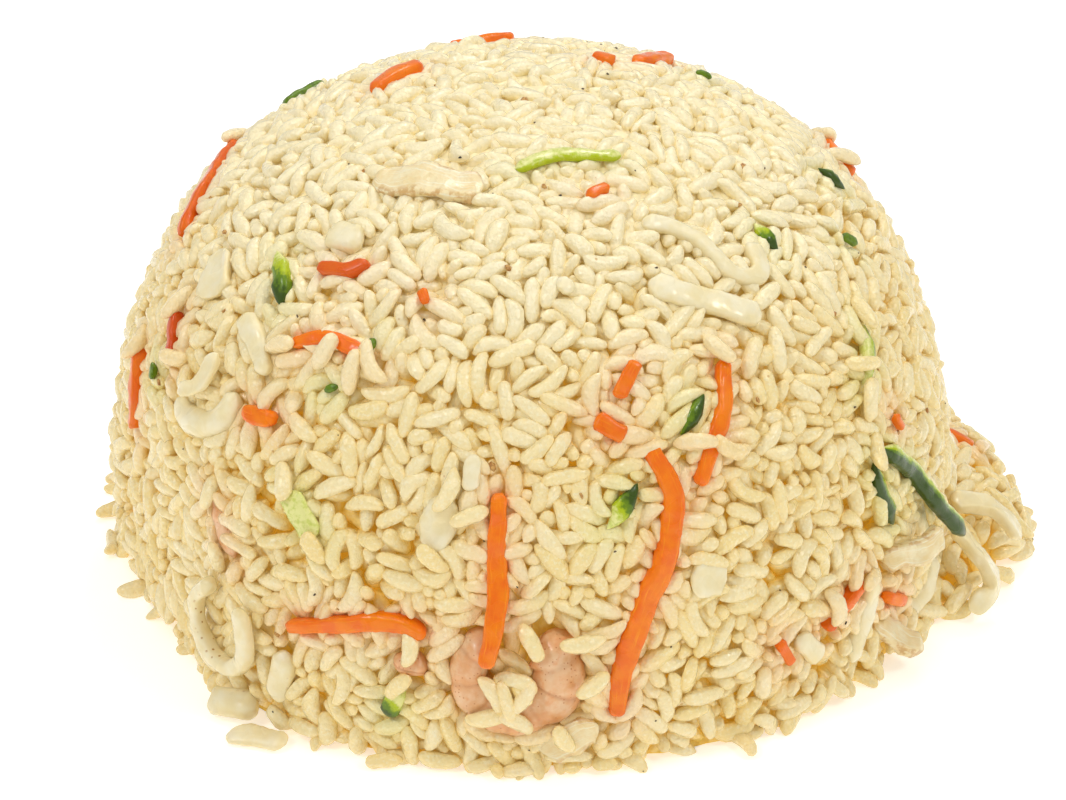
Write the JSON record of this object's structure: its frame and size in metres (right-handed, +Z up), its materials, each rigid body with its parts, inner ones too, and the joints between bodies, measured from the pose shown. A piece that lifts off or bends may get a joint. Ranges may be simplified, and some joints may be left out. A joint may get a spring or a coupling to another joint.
{
  "type": "mound of seafood fried rice",
  "caption": "Bowl-shaped mound of fried rice with carrot and cucumber shreds, squid, shrimp, bamboo shoot and onion pressed into its surface.",
  "frame": {"origin": "middle of the flat foot that the mound rests on", "axes": "+Z up, -Y towards the side the picture shows, +X to the right of that side"},
  "size_m": [0.1583, 0.144, 0.0824],
  "materials": {
    "rice": "moist, oily satin",
    "carrot": "moist, glossy",
    "cucumber": "moist, glossy",
    "cucumber_flesh": "moist, glossy",
    "squid": "smooth, moist",
    "slice": "moist satin",
    "shrimp": "moist, speckled"
  },
  "bodies": {
    "root": {"bamboo_low": "slice", "bamboo_slice": "slice", "carrot_back_high": "carrot", "carrot_back_low": "carrot", "carrot_back_side": "carrot", "carrot_crown_left": "carrot", "carrot_crown_right": "carrot", "carrot_dark_left": "carrot", "carrot_edge_left": "carrot", "carrot_front": "carrot", "carrot_hook": "carrot", "carrot_long_front": "carrot", "carrot_low_right": "carrot", "carrot_low_right_short": "carrot", "carrot_right": "carrot", "carrot_rim_left": "carrot", "carrot_rim_right": "carrot", "carrot_stub_left": "carrot", "carrot_top_back": "carrot", "carrot_under_squid": "carrot", "carrot_upper_left": "carrot", "cucumber_back": "cucumber", "cucumber_beside": "cucumber", "cucumber_foot": "cucumber", "cucumber_front": "cucumber", "cucumber_knob": "cucumber", "cucumber_left": "cucumber", "cucumber_long": "cucumber", "cucumber_pale_left": "cucumber_flesh", "cucumber_pale_top": "cucumber_flesh", "cucumber_right": "cucumber", "cucumber_rim_right": "cucumber", "cucumber_upper": "cucumber", "onion_front": "slice", "onion_low_right": "slice", "rice_mound": "rice", "shrimp_back": "shrimp", "shrimp_end": "shrimp", "shrimp_front": "shrimp", "shrimp_peek": "shrimp", "squid_arc_right": "squid", "squid_back_curl": "squid", "squid_chip_left": "squid", "squid_chunk": "squid", "squid_cube": "squid", "squid_curl": "squid", "squid_curl_right": "squid", "squid_fold": "squid", "squid_hood": "squid", "squid_j_right": "squid", "squid_lip": "squid", "squid_loop_right": "squid", "squid_right_low": "squid", "squid_ring_left": "squid", "squid_slab_left": "squid", "squid_strip_low": "squid", "squid_strip_right": "squid", "squid_stub_left": "squid", "squid_stub_low": "squid"}
  },
  "joints": []
}
